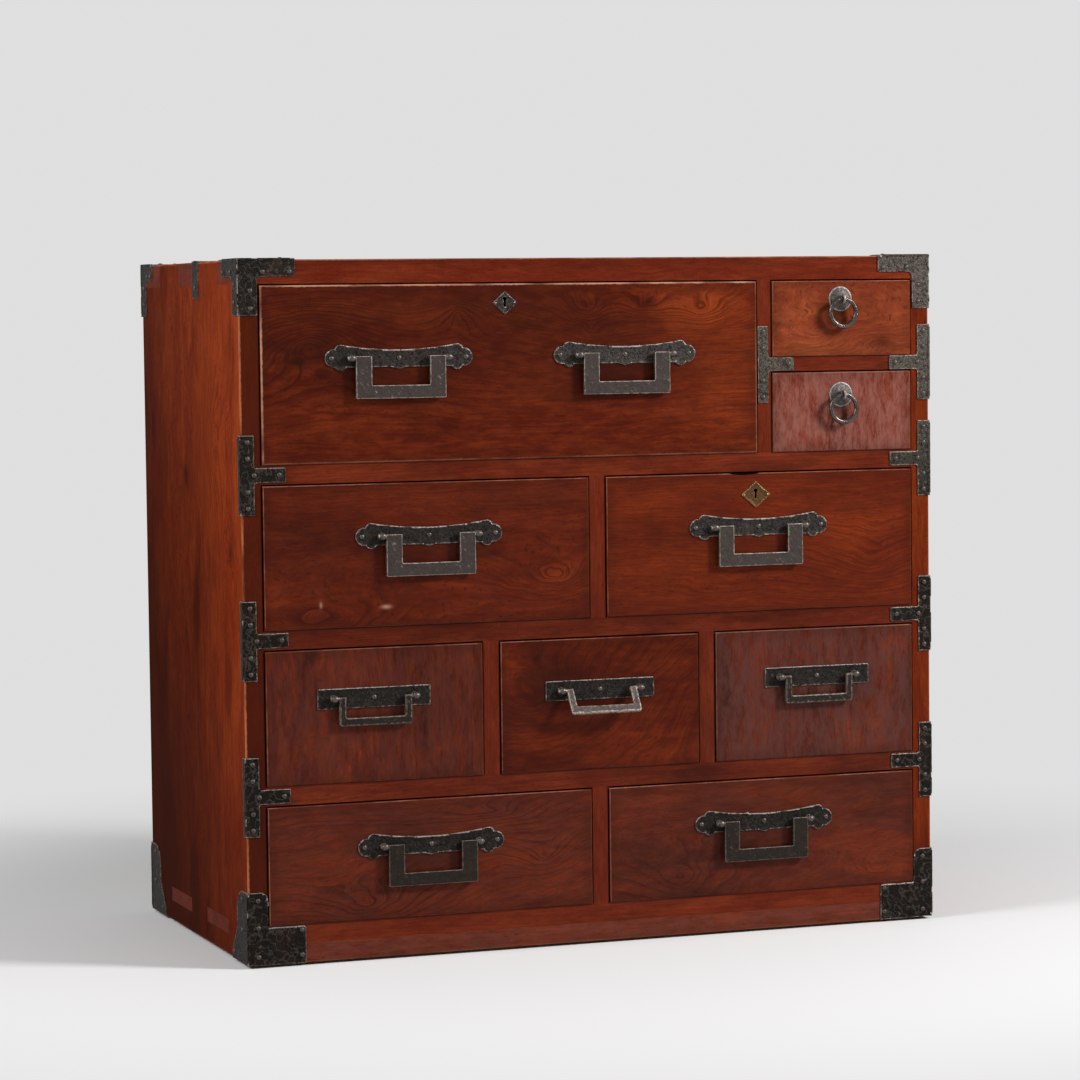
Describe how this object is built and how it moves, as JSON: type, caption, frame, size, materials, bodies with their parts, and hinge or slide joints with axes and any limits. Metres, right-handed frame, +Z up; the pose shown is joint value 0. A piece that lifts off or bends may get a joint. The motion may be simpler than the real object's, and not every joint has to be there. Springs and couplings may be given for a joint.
{
  "type": "chest of drawers",
  "caption": "Low wooden tansu chest with inset sliding drawers, swinging iron bails, ring pulls, two locks and iron corner and T-strap fittings.",
  "frame": {"origin": "on the floor, under the middle of the chest with its handles: bottom centre of its bounding box", "axes": "+Z up; +X to the right of someone facing the drawers; the drawer fronts face -Y and the drawers pull out along -Y"},
  "size_m": [0.7552, 0.4178, 0.7056],
  "materials": {
    "case_wood": "red-brown wiped lacquer over hardwood, worn at the edges",
    "front_wood": "deep red-brown wiped lacquer over figured hardwood",
    "raw_wood": "planed unfinished softwood, dusty with age",
    "case_iron": "hammered black wrought iron with brighter rubbed edges",
    "handle_iron": "hammered grey-black wrought iron",
    "lock_steel": "dull filed iron",
    "brass": "aged, darkened brass"
  },
  "bodies": {
    "case": {"side_left": "case_wood", "side_right": "case_wood", "top_board": "case_wood", "bottom_board": "case_wood", "back_boards": "raw_wood", "base_rails": "case_wood", "skids": "raw_wood", "front_rails": "case_wood", "shelf_boards": "raw_wood", "upper_partition": "case_wood", "lower_partitions": "case_wood", "corner_irons": "case_iron", "edge_straps": "case_iron", "case_nails": "case_iron"},
    "big_drawer": {"big_drawer_front": "front_wood", "big_drawer_box": "raw_wood", "big_drawer_ironwork": "handle_iron", "big_drawer_lock_case": "lock_steel"},
    "big_drawer_left_bail": {"big_drawer_left_bail": "handle_iron"},
    "big_drawer_right_bail": {"big_drawer_right_bail": "handle_iron"},
    "upper_small_drawer": {"upper_small_drawer_front": "front_wood", "upper_small_drawer_box": "raw_wood", "upper_small_drawer_ironwork": "handle_iron"},
    "upper_small_drawer_ring": {"upper_small_drawer_ring": "handle_iron"},
    "lower_small_drawer": {"lower_small_drawer_front": "front_wood", "lower_small_drawer_box": "raw_wood", "lower_small_drawer_ironwork": "handle_iron"},
    "lower_small_drawer_ring": {"lower_small_drawer_ring": "handle_iron"},
    "second_left_drawer": {"second_left_drawer_front": "front_wood", "second_left_drawer_box": "raw_wood", "second_left_drawer_ironwork": "handle_iron"},
    "second_left_drawer_bail": {"second_left_drawer_bail": "handle_iron"},
    "second_right_drawer": {"second_right_drawer_front": "front_wood", "second_right_drawer_box": "raw_wood", "second_right_drawer_ironwork": "handle_iron", "second_right_drawer_lock_case": "lock_steel", "brass_escutcheon": "brass"},
    "second_right_drawer_bail": {"second_right_drawer_bail": "handle_iron"},
    "third_left_drawer": {"third_left_drawer_front": "front_wood", "third_left_drawer_box": "raw_wood", "third_left_drawer_ironwork": "handle_iron"},
    "third_left_drawer_bail": {"third_left_drawer_bail": "handle_iron"},
    "third_middle_drawer": {"third_middle_drawer_front": "front_wood", "third_middle_drawer_box": "raw_wood", "third_middle_drawer_ironwork": "handle_iron"},
    "third_middle_drawer_bail": {"third_middle_drawer_bail": "handle_iron"},
    "third_right_drawer": {"third_right_drawer_front": "front_wood", "third_right_drawer_box": "raw_wood", "third_right_drawer_ironwork": "handle_iron"},
    "third_right_drawer_bail": {"third_right_drawer_bail": "handle_iron"},
    "bottom_left_drawer": {"bottom_left_drawer_front": "front_wood", "bottom_left_drawer_box": "raw_wood", "bottom_left_drawer_ironwork": "handle_iron"},
    "bottom_left_drawer_bail": {"bottom_left_drawer_bail": "handle_iron"},
    "bottom_right_drawer": {"bottom_right_drawer_front": "front_wood", "bottom_right_drawer_box": "raw_wood", "bottom_right_drawer_ironwork": "handle_iron"},
    "bottom_right_drawer_bail": {"bottom_right_drawer_bail": "handle_iron"},
    "big_drawer_lock_bolt": {"big_drawer_lock_bolt": "lock_steel"},
    "second_right_drawer_lock_bolt": {"second_right_drawer_lock_bolt": "lock_steel"}
  },
  "joints": [
    {"name": "big_drawer_slide", "type": "slide", "parent": "case", "child": "big_drawer", "axis": [0, -1, 0], "range_m": [0, 0.25]},
    {"name": "big_drawer_left_bail_swing", "type": "hinge", "parent": "big_drawer", "child": "big_drawer_left_bail", "pos_m": [-0.21065, -0.19635, 0.6046], "axis": [-1, 0, 0], "range_deg": [-4, 184]},
    {"name": "big_drawer_right_bail_swing", "type": "hinge", "parent": "big_drawer", "child": "big_drawer_right_bail", "pos_m": [0.03115, -0.19635, 0.6046], "axis": [-1, 0, 0], "range_deg": [-4, 184]},
    {"name": "upper_small_drawer_slide", "type": "slide", "parent": "case", "child": "upper_small_drawer", "axis": [0, -1, 0], "range_m": [0, 0.25]},
    {"name": "upper_small_drawer_ring_swing", "type": "hinge", "parent": "upper_small_drawer", "child": "upper_small_drawer_ring", "pos_m": [0.27275, -0.19875, 0.6585], "axis": [-1, 0, 0], "range_deg": [-8, 184]},
    {"name": "lower_small_drawer_slide", "type": "slide", "parent": "case", "child": "lower_small_drawer", "axis": [0, -1, 0], "range_m": [0, 0.25]},
    {"name": "lower_small_drawer_ring_swing", "type": "hinge", "parent": "lower_small_drawer", "child": "lower_small_drawer_ring", "pos_m": [0.27275, -0.19875, 0.559], "axis": [-1, 0, 0], "range_deg": [-8, 184]},
    {"name": "second_left_drawer_slide", "type": "slide", "parent": "case", "child": "second_left_drawer", "axis": [0, -1, 0], "range_m": [0, 0.25]},
    {"name": "second_left_drawer_bail_swing", "type": "hinge", "parent": "second_left_drawer", "child": "second_left_drawer_bail", "pos_m": [-0.18163, -0.19635, 0.4266], "axis": [-1, 0, 0], "range_deg": [-4, 184]},
    {"name": "second_right_drawer_slide", "type": "slide", "parent": "case", "child": "second_right_drawer", "axis": [0, -1, 0], "range_m": [0, 0.25]},
    {"name": "second_right_drawer_bail_swing", "type": "hinge", "parent": "second_right_drawer", "child": "second_right_drawer_bail", "pos_m": [0.17813, -0.19635, 0.4241], "axis": [-1, 0, 0], "range_deg": [-4, 181]},
    {"name": "third_left_drawer_slide", "type": "slide", "parent": "case", "child": "third_left_drawer", "axis": [0, -1, 0], "range_m": [0, 0.25]},
    {"name": "third_left_drawer_bail_swing", "type": "hinge", "parent": "third_left_drawer", "child": "third_left_drawer_bail", "pos_m": [-0.24188, -0.19635, 0.26595], "axis": [-1, 0, 0], "range_deg": [-4, 184]},
    {"name": "third_middle_drawer_slide", "type": "slide", "parent": "case", "child": "third_middle_drawer", "axis": [0, -1, 0], "range_m": [0, 0.25]},
    {"name": "third_middle_drawer_bail_swing", "type": "hinge", "parent": "third_middle_drawer", "child": "third_middle_drawer_bail", "pos_m": [0, -0.19635, 0.26285], "axis": [-1, 0, 0], "range_deg": [-39, 149]},
    {"name": "third_right_drawer_slide", "type": "slide", "parent": "case", "child": "third_right_drawer", "axis": [0, -1, 0], "range_m": [0, 0.25]},
    {"name": "third_right_drawer_bail_swing", "type": "hinge", "parent": "third_right_drawer", "child": "third_right_drawer_bail", "pos_m": [0.24288, -0.19635, 0.26595], "axis": [-1, 0, 0], "range_deg": [-4, 184]},
    {"name": "bottom_left_drawer_slide", "type": "slide", "parent": "case", "child": "bottom_left_drawer", "axis": [0, -1, 0], "range_m": [0, 0.25]},
    {"name": "bottom_left_drawer_bail_swing", "type": "hinge", "parent": "bottom_left_drawer", "child": "bottom_left_drawer_bail", "pos_m": [-0.18363, -0.19635, 0.11465], "axis": [-1, 0, 0], "range_deg": [-4, 184]},
    {"name": "bottom_right_drawer_slide", "type": "slide", "parent": "case", "child": "bottom_right_drawer", "axis": [0, -1, 0], "range_m": [0, 0.25]},
    {"name": "bottom_right_drawer_bail_swing", "type": "hinge", "parent": "bottom_right_drawer", "child": "bottom_right_drawer_bail", "pos_m": [0.18163, -0.19635, 0.11655], "axis": [-1, 0, 0], "range_deg": [-4, 184]},
    {"name": "big_drawer_lock_bolt_lift", "type": "slide", "parent": "big_drawer", "child": "big_drawer_lock_bolt", "axis": [0, 0, 1], "range_m": [0, 0.008]},
    {"name": "second_right_drawer_lock_bolt_lift", "type": "slide", "parent": "second_right_drawer", "child": "second_right_drawer_lock_bolt", "axis": [0, 0, 1], "range_m": [0, 0.008]}
  ]
}
